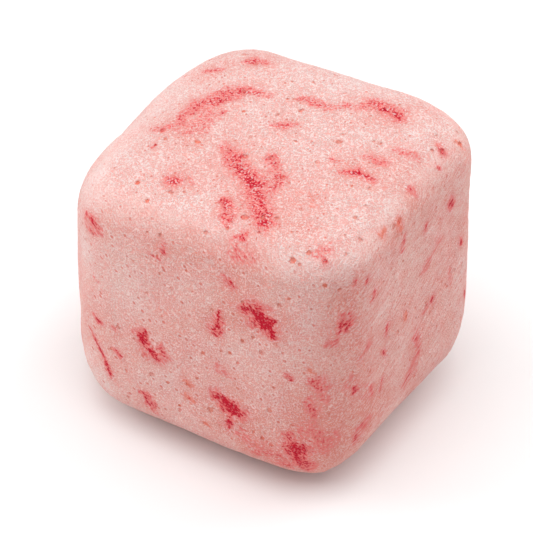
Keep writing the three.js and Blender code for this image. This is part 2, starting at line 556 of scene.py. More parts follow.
def biteTree(marksObject, foam):
    tree = bpy.data.node_groups.new("yogurtBiteBody", "GeometryNodeTree")
    bench = NodeBench(tree)
    sizes = {**biteSize, **foamRelief, **{k: v for k, v in openPores.items() if k != "seed"}}
    identifiers = inputSockets(tree, sizes)
    marksItem = tree.interface.new_socket(name="marked pores", in_out="INPUT",
                                          socket_type="NodeSocketObject")
    tree.interface.new_socket(name="Geometry", in_out="OUTPUT", socket_type="NodeSocketGeometry")
    entry = tree.nodes.new("NodeGroupInput")
    size = {name: Wire(bench, entry.outputs[name]) for name in sizes}
    marksSocket = Wire(bench, entry.outputs["marked pores"])

    corners = biteMesh["steps"] + 1
    cubeGrid = bench.add("GeometryNodeMeshCube", None, {
        "Size": (2.0, 2.0, 2.0), "Vertices X": corners, "Vertices Y": corners,
        "Vertices Z": corners}, "Mesh")
    position = bench.add("GeometryNodeInputPosition")
    cube = bench.join(*(bunched(axis) for axis in bench.split(position)))
    body = bench.add("GeometryNodeSetPosition", None, {
        "Geometry": cubeGrid, "Position": bodyPlace(bench, size, cube)})
    body = alongNormal(bench, body, lumpLift(bench, size, position))

    # The middle of the underside's box goes to the origin, as in the solid
    bounds = bench.add("GeometryNodeBoundBox", None, {0: body}, None)
    low, high = (bench.split(Wire(bench, bounds.outputs[name])) for name in ("Min", "Max"))
    body = moved(bench, body, bench.join((low[0] + high[0]) / -2.0, (low[1] + high[1]) / -2.0, -low[2]))

    slope = bench.split(bench.add("GeometryNodeInputNormal"))[2]
    body = stored(bench, body, "slope", slope)
    body = alongNormal(bench, body, foamLift(bench, size, position))

    # The cut fills in nothing, so both meshes have every value that the foam's material reads
    balls = poreBalls(bench, size, body, marksSocket)
    body = stored(bench, stored(bench, body, "poreWall", 0.0), "poreShade", 0.0)
    cut = bench.add("GeometryNodeMeshBoolean", {"operation": "DIFFERENCE", "solver": "MANIFOLD"},
                    {0: body, 1: balls}, None)
    whole, rims = (Wire(bench, cut.outputs[name]) for name in ("Mesh", "Intersecting Edges"))
    whole = bench.add("GeometryNodeSetShadeSmooth", {"domain": "FACE"}, {
        "Geometry": whole, "Shade Smooth": True})
    whole = bench.add("GeometryNodeSetShadeSmooth", {"domain": "EDGE"}, {
        "Geometry": whole, "Selection": rims, "Shade Smooth": False})
    whole = bench.add("GeometryNodeTransform", None, {"Geometry": whole, "Scale": (mm, mm, mm)})
    whole = bench.add("GeometryNodeRealizeInstances", None, {0: whole})
    whole = bench.add("GeometryNodeSetMaterial", None, {"Geometry": whole, "Material": foam})
    leave = tree.nodes.new("NodeGroupOutput")
    tree.links.new(whole.socket, leave.inputs["Geometry"])
    return tree, identifiers, marksItem.identifier, sizes


def storeValues(mesh, name, values):
    mesh.attributes.new(name, "FLOAT", "POINT").data.foreach_set("value", values)


def poreMarks():
    places = [placeAtPixel(x, y) for x, y, _ in markedPores]
    kept = [(place, mark[2]) for place, mark in zip(places, markedPores) if place is not None]
    mesh = bpy.data.meshes.new("poreMarks")
    mesh.from_pydata([place for place, _ in kept], [], [])
    rimShare = math.sqrt(1 - openPores["openness"] ** 2)
    storeValues(mesh, "poreRadius", [width * pixelSize / 2 / rimShare for _, width in kept])
    storeValues(mesh, "poreShade", [1.0] * len(kept))
    return inScene("poreMarks", mesh)


# Foam material
# The top's colour and the side colour are lit and shaded copies of one foam colour: the top is painted
# paler for the light from above
foamColours = {
    "paintedLitTop": (0.968, 0.690, 0.655),
    "shadedSideCream": (0.955, 0.562, 0.508),
    "pale": (0.990, 0.815, 0.785),
    "pink": (0.930, 0.420, 0.390),
    "blush": (0.830, 0.240, 0.190),
    # pit and poreWall: partly the foam's redder colour in the hollows, partly painted shade there
    "pit": (0.800, 0.170, 0.125),
    "paleSpeckGlint": (0.995, 0.810, 0.785),
    "poreWall": (0.930, 0.268, 0.195),
    "stained": (0.910, 0.225, 0.210),
    "berry": (0.830, 0.075, 0.088),
    "berryDeep": (0.660, 0.010, 0.033),
    "halo": (0.890, 0.290, 0.280),
    "orange": (0.920, 0.240, 0.165),
    "ridgeHighlight": (0.968, 0.685, 0.640),
    "underside": (0.700, 0.270, 0.220),
}

# Noise in the foam: scale to the millimetre, detail, roughness and distortion
foamNoises = {
    "fine": (12.5, 1.0), "top crumbs": (6.8, 0.5, 0.5, 0.6), "side crumbs": (9.86, 1.0, 0.5, 0.3),
    "hairs": (11.5, 1.0), "clouds": (0.36, 2.0), "mottle": (1.0, 2.0, 0.6),
    "pore walls": (1.3, 0.0), "patches": (2.6, 2.0, 0.6), "top speckles": (7.2, 1.0, 0.6, 0.4),
    "side speckles": (7.2, 1.0, 0.6), "fruit crumb glints": (8.0, 0.0), "coarse shake": (1.9, 1.0),
    "fine shake": (5.5, 1.0),
}

# Soft steps that make masks: the values where each starts and is full
foamSteps = {
    "top": (0.5, 0.9), "hairy side": (7.6, 9.4), "ridgeHighlight": (0.15, 0.5), "past ridge": (0.75, 0.97),
    "ridge height": (12.0, 14.0), "under shade": (-0.3, -0.75), "fine": (0.38, 0.62),
    "top crumbs": (0.11, 0.01), "side crumbs": (0.3, 0.7), "hairs": (0.32, 0.68),
    "light grain": (0.5, 0.9), "dark grain": (0.5, 0.1), "clouds": (0.36, 0.64),
    "mottle": (0.38, 0.68), "pore walls": (0.35, 0.65), "orange": (0.3, 0.85),
    "halo": (0.05, 0.9), "wide streak": (0.05, 0.3), "by a streak": (0.01, 0.12),
    "speckles": (0.36, 0.64), "loose": (0.02, 0.35), "packed": (0.6, 0.95), "firm": (0.5, 0.9),
    "orange fruit": (0.1, 0.5), "stain": (0.08, 0.45), "berry": (0.45, 0.8),
    "berry core": (0.66, 0.96), "fruit": (0.3, 0.7), "fruit crumb glints": (0.56, 0.68),
}

# Shares on a side, how much more they are on top, and how much more on the hairy side
foamShares = {
    "crumbs": (0.35, 0.35, 0.2), "dot width": (0.3, -0.03, 0.0), "light grain": (0.46, 0.22, 0.0),
    "dark grain": (0.46, 0.1, 0.09), "rims": (0.28, -0.14, 0.0), "dots": (0.66, 0.0, -0.1),
    "fruit crumb glints": (0.3, 0.3, 0.0), "fine height": (0.55, -0.2, 0.06),
    "crumb height": (0.25, 0.0, 0.11),
}

# How far each colour covers the ones under it, where it is full
foamCover = {
    "ridgeHighlight": 0.5, "clouds": 0.4, "mottle": 0.3, "pale": 0.77, "blush": 0.7, "underside": 0.3,
    "orange": 0.5, "halo": 0.75, "pore wall": 0.65, "pore wall tone": 0.35, "stain": 0.8,
    "berry": 0.9, "orange pit": 0.7,
}

# The ways along which the grain is drawn out, and how much
foamGrain = {
    "sideWay": (0.92, -0.87, -0.41),
    "sideShare": 0.7,
    "hairWay": (0.0, 0.9, 0.43),
    "hairShare": 0.86,
    "dotShare": 0.5,
    "closedRidge": 0.2,
    "haloCrumbs": 0.2,
}

openDot = {
    "scale": 2.7,
    "shown": (0.4, 0.8),
    "middle": (1.0, 0.5),  # in dot widths, as are the rims
    "rimOutside": (1.9, 1.3),
    "rimInside": (0.7, 1.1),
}

# How the fruit's edge wanders and breaks up
fruitEdge = {
    "coarse shake": (0.15, 0.7),  # for thin streaks, and how much more for wide ones
    "fine shake": (0.12, 0.25),
    "guard": 0.09,
    "widths": 1.6,
    "leastWidth": 0.03,
    "packed": 0.55,
    "patches": 0.55,
    "speckles": 0.55,
    "grain": 0.25,
    "firmSides": 0.12,
    "lessOnTop": 0.03,
}

foamSurface = {
    "bumpHeight": 0.10,
    "bumpStrength": 1.0,
    "dotDepth": 0.2,
    "roughness": 0.86,
    "fruitGloss": 0.2,
    "specular": 0.1,
    "subsurface": 0.15,
    "subsurfaceRadius": (1.0, 0.45, 0.38),
    "subsurfaceScale": 0.2,
}


def attribute(bench, name, out="Fac"):
    return bench.add("ShaderNodeAttribute", {"attribute_name": name}, None, out)


# Squeezes the places along one way, so that a texture is drawn out along it
def squeezed(bench, place, way, share):
    way = Vector(way).normalized()
    along = bench.vector("DOT_PRODUCT", place, way, out="Value")
    return bench.vector("SUBTRACT", place, bench.scaled(tuple(way), along * share))


# Small red dots where the bubbles broke open, partly painted shade in the pits, and the pale rims round
# them, a painted highlight
def openDots(bench, place, wide):
    cells = bench.add("ShaderNodeTexVoronoi", {"feature": "F1"}, {
        "Vector": place, "Scale": openDot["scale"], "Randomness": 1.0}, None)
    chance = bench.split(Wire(bench, cells.outputs["Color"]))[0]
    distance = Wire(bench, cells.outputs["Distance"])
    shown = bench.smooth(chance, *openDot["shown"])
    middle, outside, inside = (
        bench.smooth(distance, wide * openDot[name][0], wide * openDot[name][1])
        for name in ("middle", "rimOutside", "rimInside"))
    return middle * shown, outside * inside * shown


def foamMaterial():
    material = bpy.data.materials.new("driedYogurtFoam")
    bench = emptyBench(material)
    colour = {name: rgba(value) for name, value in foamColours.items()}
    place = bench.scaled(bench.add("ShaderNodeTexCoord", None, None, "Object"), 1 / mm)
    halo, orange, blush, pale, poreWall, poreShade, slope = (
        attribute(bench, name) for name in (
            "halo", "orange", "blush", "pale", "poreWall", "poreShade", "slope"))
    streakWidth, streakStrength, streakDistance = (
        attribute(bench, name) for name in ("streakWidth", "streakStrength", "streakDistance"))

    def step(name, value):
        return bench.smooth(value, *foamSteps[name])

    def noise(name, where=place):
        return bench.noise(where, *foamNoises[name])

    def mask(name, where=place):
        return step(name, noise(name, where))

    # The top is crumbly; on the sides the grain runs askew, on one as fine hairs
    isTop = step("top", slope)
    isSide = 1.0 - isTop
    isHair = step("hairy side", abs(bench.split(place)[0])) * isSide
    notHair = 1.0 - isHair

    def share(name):
        onSide, onTop, onHair = foamShares[name]
        return onSide + isTop * onTop + isHair * onHair

    # Painted highlight: a paler band over the rounding under the top edge; the grain is also weaker
    # there
    ridgeHighlight = step("ridgeHighlight", slope) * (1.0 - step("past ridge", slope))
    ridgeHighlight = ridgeHighlight * step("ridge height", bench.split(place)[2])
    openShare = 1.0 - ridgeHighlight * foamGrain["closedRidge"]
    drawn = squeezed(bench, place, foamGrain["sideWay"], foamGrain["sideShare"])
    hairy = squeezed(bench, place, foamGrain["hairWay"], foamGrain["hairShare"])
    fine = mask("fine")
    crumbTop = step("top crumbs", abs(noise("top crumbs") - 0.5))
    crumbSide = mask("side crumbs", drawn) * notHair + mask("hairs", hairy) * isHair
    crumb = crumbTop * isTop + crumbSide * isSide
    crumbShare = share("crumbs")
    grain = fine * (1.0 - crumbShare) + crumb * crumbShare
    dotPlace = squeezed(bench, place, foamGrain["sideWay"], foamGrain["dotShare"] * isSide)
    dots, rims = openDots(bench, dotPlace, share("dot width"))

    # Ground: painted light makes the top paler than the sides, with a pale painted highlight along the
    # top edge and painted shade on the underside; pinker and paler in soft clouds
    clouds = mask("clouds") * foamCover["clouds"] + mask("mottle") * foamCover["mottle"]
    nearHalo = step("halo", halo + (crumb - 0.5) * foamGrain["haloCrumbs"])
    wallShade = foamCover["pore wall"] + mask("pore walls") * foamCover["pore wall tone"]
    base = bench.layered(
        colour["shadedSideCream"],
        # painted light: the top paler than the sides
        (isTop, colour["paintedLitTop"]),
        # painted highlight along the top edge
        (ridgeHighlight * foamCover["ridgeHighlight"], colour["ridgeHighlight"]),
        (clouds * openShare, colour["pink"]),
        (pale * foamCover["pale"], colour["pale"]),
        (blush * foamCover["blush"], colour["blush"]),
        # painted shade: darker on the surfaces that face down towards the floor
        (step("under shade", slope) * foamCover["underside"], colour["underside"]),
        (step("orange", orange) * foamCover["orange"], colour["orange"]),
        (nearHalo * foamCover["halo"], colour["halo"]),
        # the grain's pale and dark flecks: partly the foam's own mottling, partly painted highlights
        # and shade on the crumbs, stronger on top
        (step("light grain", grain) * share("light grain"), colour["paleSpeckGlint"]),
        (step("dark grain", grain) * share("dark grain") * openShare, colour["blush"]),
        # painted highlight: pale rims round the dots
        (rims * share("rims") * notHair, colour["paleSpeckGlint"]),
        (dots * share("dots") * openShare, colour["pit"]),
        # pore walls: partly the foam's own redder colour, partly painted shade in the hollows
        (poreWall * poreShade * wallShade, colour["poreWall"]))

    # Fruit: the offset from the nearest streak gives thin ones a sharp edge between the points
    isWide = step("wide streak", streakWidth)
    offset = attribute(bench, "streakOffset", "Vector")
    for name in ("coarse shake", "fine shake"):
        thin, more = fruitEdge[name]
        shake = bench.noise(place, *foamNoises[name], out="Color")
        shake = bench.vector("SUBTRACT", shake, (0.5, 0.5, 0.5))
        offset = bench.vector("ADD", offset, bench.scaled(shake, thin + isWide * more))
    nearness = bench.vector("LENGTH", offset, out="Value").most(streakDistance - fruitEdge["guard"])
    away = nearness / (streakWidth * fruitEdge["widths"] + fruitEdge["leastWidth"])
    fruit = (away * away * -1.0).math("EXPONENT") * streakStrength * step("by a streak", halo)
    speckle = noise("side speckles", hairy) * isHair + noise("side speckles", drawn) * notHair
    speckle = step("speckles", noise("top speckles") * isTop + speckle * isSide)
    uneven = (noise("patches") - 0.5) * fruitEdge["patches"] + (speckle - 0.5) * fruitEdge["speckles"]
    uneven = uneven + (grain - 0.5) * fruitEdge["grain"]
    loose = step("loose", fruit) * (1.0 - step("packed", fruit) * fruitEdge["packed"])
    reach = fruit + loose * uneven + step("firm", fruit) * isSide * fruitEdge["firmSides"]
    reach = reach - isTop * fruitEdge["lessOnTop"]
    isOrange = step("orange fruit", orange)
    isFruit = step("fruit", reach)
    stained = bench.mix(isOrange, colour["stained"], colour["orange"])
    berry = bench.mix(isOrange * foamCover["orange pit"], colour["berry"], colour["pit"])
    # painted highlights: pale crumbs glinting in the fruit, whiter on top and pink on the sides
    crumbGlintColour = bench.mix(isTop, colour["pink"], colour["paleSpeckGlint"])
    base = bench.layered(
        base,
        (step("stain", reach) * foamCover["stain"], stained),
        (step("berry", reach) * foamCover["berry"], berry),
        (step("berry core", reach), colour["berryDeep"]),
        (mask("fruit crumb glints") * isFruit * share("fruit crumb glints"), crumbGlintColour))

    height = (fine * share("fine height") + crumb * share("crumb height")) * openShare
    normal = bench.add("ShaderNodeBump", None, {
        "Strength": foamSurface["bumpStrength"], "Distance": foamSurface["bumpHeight"] * mm,
        "Height": height - dots * foamSurface["dotDepth"]}, "Normal")
    shader = bench.add("ShaderNodeBsdfPrincipled", None, {
        "Base Color": base, "Normal": normal,
        "Roughness": foamSurface["roughness"] - isFruit * foamSurface["fruitGloss"],
        "Specular IOR Level": foamSurface["specular"],
        "Subsurface Weight": foamSurface["subsurface"],
        "Subsurface Radius": foamSurface["subsurfaceRadius"],
        "Subsurface Scale": foamSurface["subsurfaceScale"] * mm})
    bench.add("ShaderNodeOutputMaterial", None, {"Surface": shader}, None)
    return material


# Fruit marbling that the photograph shows. Each point is x and y in pixels, the width of the
# dark core there in pixels, and its strength in percent.
berryStreaks = {
    "far blotch": [(243, 62, 4, 50), (256, 61, 9, 85), (264, 62, 6, 70), (272, 63, 3, 40)],
    "far dash": [(202, 73, 3, 60), (210, 72, 4, 70), (221, 71, 3, 50)],
    "back arc": [(179, 122, 8, 64), (189, 112, 11, 72), (200, 105, 13, 74), (213, 100, 14, 70),
        (222, 95, 12, 74), (236, 92, 11, 74), (252, 92, 9, 64), (268, 96, 6, 46)],
    "back arc tail": [(157, 130, 7, 48), (168, 128, 7, 46), (177, 124, 7, 50)],
    "under arc": [(186, 130, 14, 42), (200, 127, 16, 38), (212, 114, 14, 42)],
    "main curl start": [(222, 144, 8, 50), (228, 150, 11, 62), (232, 157, 13, 70)],
    "main curl": [(232, 157, 13, 72), (236, 166, 13, 78), (243, 173, 14, 82), (252, 181, 15, 88),
        (257, 192, 17, 80), (259, 205, 18, 70), (261, 216, 16, 80), (264, 224, 13, 84)],
    "curl dark end": [(257, 224, 8, 100), (265, 221, 11, 100), (268, 216, 6, 95)],
    "curl haze": [(242, 192, 16, 34), (246, 208, 18, 36), (256, 226, 18, 34)],
    "curl branch": [(271, 158, 8, 78), (275, 167, 11, 54), (279, 177, 13, 54), (274, 188, 14, 50)],
    "left fleck": [(167, 176, 4, 55), (173, 181, 9, 100), (178, 184, 6, 70)],
    "near curl": [(223.5, 201, 6, 85), (224, 207, 8, 80), (225, 215, 9, 68), (229, 223, 8, 62)],
    "ridge line": [(235, 239, 2.2, 66), (241, 238, 3, 82), (247, 239, 2.2, 66)],
    "far right band": [(302, 99, 5, 50), (312, 101, 7, 60), (322, 104, 7, 54), (333, 108, 6, 32),
        (345, 105, 8, 50), (357, 108, 8, 38), (368, 104, 9, 60), (380, 107, 11, 68),
        (393, 114, 11, 72)],
    "middle dash": [(270, 125, 4, 55), (283, 126, 6, 72), (296, 126, 4, 55)],
    "right dash": [(342, 172, 4, 65), (348, 174, 5, 85), (356, 172, 6.5, 100), (364, 176, 6, 92),
        (373, 180, 5, 70)],
    "right scatter": [(365, 156, 5, 42), (377, 160, 7, 70), (383, 162, 7, 75)],
    "right scatter far": [(396, 151, 6, 42), (408, 155, 7, 46), (418, 161, 5, 34)],
    "front blush": [(318, 254, 9, 36), (325, 251, 11, 42), (333, 246, 8, 30)],
    "left rim fleck": [(87, 218, 9, 62), (92, 223, 12, 68), (97, 229, 9, 55)],
    "upper right dot": [(225, 277, 5, 62), (229, 282, 7.5, 88), (233, 284, 5, 70)],
    "big fleck": [(242, 308, 8, 90), (251, 311, 13, 100), (259, 318, 17, 100), (266, 326, 13, 100),
        (272, 334, 7, 92)],
    "beside fleck": [(218, 313, 5, 72), (216, 323, 10, 88), (218, 333, 6, 75)],
    "left cluster": [(144, 333, 4, 80), (143, 339, 8, 100), (144, 343, 5, 85)],
    "left cluster low": [(146, 346, 7, 70), (150, 352, 10, 92), (156, 357, 9, 72)],
    "left cluster side": [(160, 346, 6, 66), (162, 350, 5, 60), (166, 355, 7, 54)],
    "edge hair": [(91, 330, 2, 55), (96, 339, 3.4, 80), (100, 348, 3.6, 88), (104, 358, 3.2, 78),
        (109, 368, 3.2, 78), (113, 377, 3.4, 85)],
    "low left": [(140, 392, 6, 60), (147, 398, 9, 82), (153, 406, 6, 70), (158, 414, 5, 42)],
    "low fleck": [(213, 394, 6, 90), (222, 400, 10, 100), (229, 407, 13, 100),
        (237, 412, 12, 100)],
    "corner smudge": [(317, 384, 12, 50), (321, 388, 12, 54), (322, 395, 9, 42)],
    "corner streak": [(309, 402, 7, 50), (311, 409, 9, 68), (313, 417, 7, 52)],
    "low corner fleck": [(290, 436, 9, 66), (291, 445, 13, 84), (296, 451, 17, 92),
        (300, 459, 14, 85), (305, 467, 10, 76)],
    "low corner blush": [(312, 432, 20, 36), (322, 445, 20, 42), (330, 440, 16, 36)],
    "face fleck": [(351, 314, 7, 50), (347, 322, 13, 62), (344, 329, 11, 60), (340, 333, 6, 48)],
    "right ribbon": [(438, 241, 9, 34), (432, 254, 9, 32), (425, 269, 11, 36)],
    "low ribbon": [(416, 333, 8, 40), (417, 344, 7, 36), (417, 356, 9, 42)],
    "low ribbon end": [(416, 362, 9, 42), (412, 372, 10, 48), (406, 381, 10, 45)],
    "low right ribbon": [(366, 421, 8, 40), (360, 429, 9, 46), (355, 438, 8, 44)],
}

# Small dots and dashes of fruit, each from one point to the next.
berryDots = [
    [(221, 112, 5, 66), (224, 111, 4, 60)], [(154.5, 146, 2.5, 62), (156.5, 144, 2.5, 62)],
    [(249, 179, 13, 100), (254, 185, 14, 100)], [(186, 180, 5, 40), (191, 182, 5, 35)],
    [(383, 110, 5, 95), (385, 111, 5, 95)], [(394, 116, 7, 95), (398, 118.5, 8, 100)],
    [(397, 110, 5, 55), (406, 113, 5, 50)], [(441, 149, 5, 75), (445, 153, 5, 75)],
    [(438.5, 166, 3.5, 55), (440, 168, 3, 50)], [(411, 191, 5, 68), (413, 194, 4, 55)],
    [(333, 160, 5, 40), (337, 162, 4, 38)], [(325.5, 260, 3, 62), (326.5, 263, 2.5, 75)],
    [(88, 218, 3, 65), (89, 219, 3, 60)], [(165, 250, 4.5, 80), (166, 253, 4, 70)],
    [(146, 250, 2, 55), (157, 258, 2.5, 60)], [(238, 254, 14, 42), (246, 256, 15, 44)],
    [(262, 320, 8, 100), (273, 319, 5.5, 90)], [(135, 334, 5, 45), (139, 336, 5, 50)],
    [(94, 315, 5, 60), (99, 321, 4, 95)], [(114, 349, 3.5, 75), (118, 356, 3.5, 80)],
    [(112, 326, 3.5, 65), (113, 329, 3, 60)], [(94, 275, 4, 45), (97, 281, 4, 45)],
    [(230, 413, 13, 80), (230, 420, 8, 62)], [(229.5, 424.5, 5, 100), (231.5, 426.5, 5, 100)],
    [(230, 425, 16, 30), (244, 436, 18, 34)], [(258, 450, 18, 38), (274, 455, 18, 38)],
    [(222, 370, 9, 32), (229, 376, 7, 30)], [(289, 376, 4, 60), (290, 377, 3, 55)],
    [(284, 454, 16, 45), (288, 463, 16, 50)], [(334, 340, 7, 50), (330, 346, 6, 40)],
    [(451, 201, 6, 80), (451, 207, 6, 80)], [(461, 240, 3.2, 85), (461, 243, 3, 80)],
    [(464, 294, 3.2, 80), (464.5, 297, 3, 75)], [(376, 289, 3, 70), (374, 298, 3.5, 60)],
    [(367, 279, 3, 65), (365.5, 283, 3, 60)], [(356, 283, 3.5, 62), (356, 286, 3, 55)],
    [(387.5, 327, 3.4, 85), (386.5, 331, 3.4, 80)], [(384.5, 351, 2.8, 90), (384, 355, 2.8, 90)],
    [(433, 297, 2.8, 85), (432, 301, 2.6, 80)], [(354.5, 388, 4.5, 85), (356, 393, 5.5, 88)],
    [(350, 384, 12, 30), (362, 392, 12, 30)], [(370, 388, 4, 60), (371, 394, 4.5, 65)],
    [(382, 381, 2.5, 65), (381, 386, 2.5, 60)], [(404, 239, 6, 42), (403, 246, 6, 42)],
    [(426, 226, 2.6, 75), (425, 229, 2.6, 70)], [(423, 314, 4, 42), (429, 305, 4, 42)],
    [(370, 340, 6, 34), (361, 358, 7, 34)], [(450, 274, 5, 36), (451, 284, 5, 34)],
]

# Those whose colour leans to orange.
orangeDots = [
    [(458, 142, 5, 50), (462, 148, 5, 42)], [(311, 193, 5, 36), (313, 205, 5, 42)],
    [(186, 382, 4.5, 85), (189.5, 386.5, 4.5, 80)], [(188, 397.5, 6, 72), (192, 401, 6.5, 78)],
    # The first pair below paints shade inside a pore's wall
    [(206, 423.5, 3, 60), (208, 425.5, 3, 60)], [(311, 369, 3, 62), (312, 372, 3, 55)],
    [(406.5, 312, 3.5, 85), (405.5, 319, 3, 75)], [(399, 221, 5, 100), (399, 224, 5, 100)],
    [(384, 230, 6, 72), (382, 234, 6, 72)],
]

# Marbling on the sides that the photograph doesn't show, by rule.
hiddenStreaks = {
    "count": 40,
    "azimuths": (136.0, 288.0),  # degrees, the same turn as the camera's
    "heights": (2.0, 16.5),
    "overTop": 3.5,  # how much higher they go at the back, over the rounding
    "backAzimuth": 213.8,
    "spread": 0.618,  # how far up the sides each streak lies from the last, in turns
    "steps": (1, 4),
    "stepLength": (0.4, 1.0),
    "widths": (0.12, 0.9),
    "rarity": 1.6,  # a higher one leaves fewer wide streaks
    "strengths": (0.4, 1.0),
    "startDistance": 13,  # from the upright axis, to start each streak from outside
    "unevenness": 0.2,
    "bend": 0.35,
    "widthDraw": (0.6, 1.2),
    "strengthDraw": (0.8, 1.0),
    "orangeShare": 0.15,
    "seed": 29,
}

streakWarp = {"waves": 8, "shortest": 0.7, "longest": 2.4, "height": 0.05, "seed": 5}

streakStain = {
    "reach": 3.0,  # past the edge of a streak, where its stain ends
    "haloWidths": 2.2,
    "haloMargin": 0.22,
    "blushMargin": 0.85,
    "blushShare": 0.45,
    "orangeLoss": 0.4,
}

# Soft clouds away from the streaks, by face: x, y and radius in pixels, and strength in percent. The
# strong blush clouds low at the front corner also stand for painted shade at the bottom.
blushClouds = {
    "top": [
        (190, 146, 16, 40), (250, 215, 34, 15), (298, 226, 26, 42), (375, 172, 26, 25),
        (150, 220, 24, 42),
    ],
    "left face": [
        (322, 442, 34, 82), (320, 462, 32, 100), (320, 450, 22, 100), (236, 315, 22, 80),
        (196, 402, 16, 40), (252, 372, 18, 30), (238, 386, 14, 40), (252, 415, 17, 75),
        (268, 459, 28, 100), (236, 433, 24, 100), (178, 326, 26, 50), (235, 382, 18, 35),
        (240, 415, 26, 35), (98, 330, 26, 35), (109, 222, 14, 30), (146, 360, 26, 25),
        (180, 238, 20, 25), (234, 272, 28, 55), (257, 447, 26, 85), (308, 411, 26, 78),
        (289, 322, 14, 30), (208, 325, 22, 30), (194, 249, 22, 65), (258, 266, 22, 60),
        (308, 281, 16, 35), (241, 420, 16, 50), (220, 409, 14, 40), (308, 415, 16, 50),
        (284, 430, 16, 40), (217, 257, 15, 45), (249, 317, 14, 35),
    ],
    "right face": [
        (338, 415, 44, 48), (373, 406, 30, 80), (350, 350, 34, 40), (412, 206, 14, 70),
        (412, 389, 18, 62), (465, 156, 12, 40), (362, 365, 24, 36), (345, 320, 24, 30),
        (410, 300, 40, 12), (440, 262, 26, 25), (428, 200, 22, 45), (396, 238, 18, 35),
        (412, 360, 20, 40), (342, 302, 20, 75), (448, 325, 18, 45), (420, 342, 18, 25),
        (464, 216, 14, 60),
    ],
}

# Those on the far and right edge of the top partly paint a highlight there
paleClouds = {
    "top": [
        (345, 86, 42, 90), (412, 135, 30, 80), (178, 84, 26, 50), (90, 184, 32, 70),
        (140, 122, 26, 40), (314, 262, 24, 75), (392, 204, 20, 40), (310, 148, 26, 50),
        (152, 150, 26, 55), (256, 114, 24, 50), (338, 266, 18, 60), (229, 84, 18, 100),
        (293, 66, 24, 70), (187, 97, 16, 80), (163, 192, 20, 50), (393, 99, 20, 95),
        (133, 158, 24, 80), (188, 203, 22, 60), (376, 214, 20, 50), (374, 95, 18, 90),
        (428, 152, 16, 50), (217, 128, 15, 70), (284, 150, 14, 40), (240, 230, 18, 80),
        (212, 229, 16, 70), (279, 245, 16, 50), (228, 86, 18, 50), (138, 144, 14, 50),
    ],
    "left face": [
        (122, 288, 30, 30), (238, 356, 22, 30), (86, 252, 22, 70), (90, 360, 20, 50),
        (106, 380, 18, 75), (166, 376, 18, 55), (312, 316, 16, 40),
    ],
    "right face": [(461, 268, 16, 55), (461, 308, 14, 45)],
}


# Marbling: how strong the fruit is at each point of the skin
def visibleMarks():
    marks = []
    for points in (*berryStreaks.values(), *berryDots, *orangeDots):
        path = [(placeAtPixel(x, y), width * pixelSize, percent / 100)
                for x, y, width, percent in points]
        path = [point for point in path if point[0] is not None]
        marks.append({"path": path, "orange": 1.0 if points in orangeDots else 0.0})
    return marks


def hiddenMarks():
    rule = hiddenStreaks
    source = np.random.default_rng(rule["seed"])
    marks = []
    for number in range(rule["count"]):
        along = (number + source.uniform(0, 1)) / rule["count"]
        upwards = number * rule["spread"] + source.uniform(0, rule["unevenness"])
        turn = math.radians(float(np.interp(along, (0, 1), rule["azimuths"])))
        fromBack = math.cos(turn - math.radians(rule["backAzimuth"]))
        lowest, highest = rule["heights"]
        highest += rule["overTop"] * max(fromBack, 0.0) ** 2
        height = lowest + (highest - lowest) * (upwards % 1)
        outside = rule["startDistance"]
        place = nearestOnSkin(Vector((math.sin(turn) * outside, -math.cos(turn) * outside, height)))
        way = Vector(source.normal(size=3)).normalized()
        thinnest, widest = rule["widths"]
        width = thinnest + (widest - thinnest) * source.uniform() ** rule["rarity"]
        strength = source.uniform(*rule["strengths"])
        path = []
        for _ in range(source.integers(*rule["steps"]) + 1):
            pointWidth = width * source.uniform(*rule["widthDraw"])
            path.append((place, pointWidth, strength * source.uniform(*rule["strengthDraw"])))
            way = (way + Vector(source.normal(size=3)) * rule["bend"]).normalized()
            place = nearestOnSkin(place + way * source.uniform(*rule["stepLength"]))
        isOrange = source.uniform() < rule["orangeShare"]
        marks.append({"path": path, "orange": 1.0 if isOrange else 0.0})
    return marks


def warpedPlaces(places):
    source = np.random.default_rng(streakWarp["seed"])
    warped = places.copy()
    for _ in range(streakWarp["waves"]):
        way = source.normal(size=3)
        length = source.uniform(streakWarp["shortest"], streakWarp["longest"])
        step = way / np.linalg.norm(way) * 2 * math.pi / length
        phase = source.uniform(0, 2 * math.pi)
        push = source.normal(size=3) * streakWarp["height"]
        warped += np.sin(places @ step + phase)[:, None] * push
    return warped


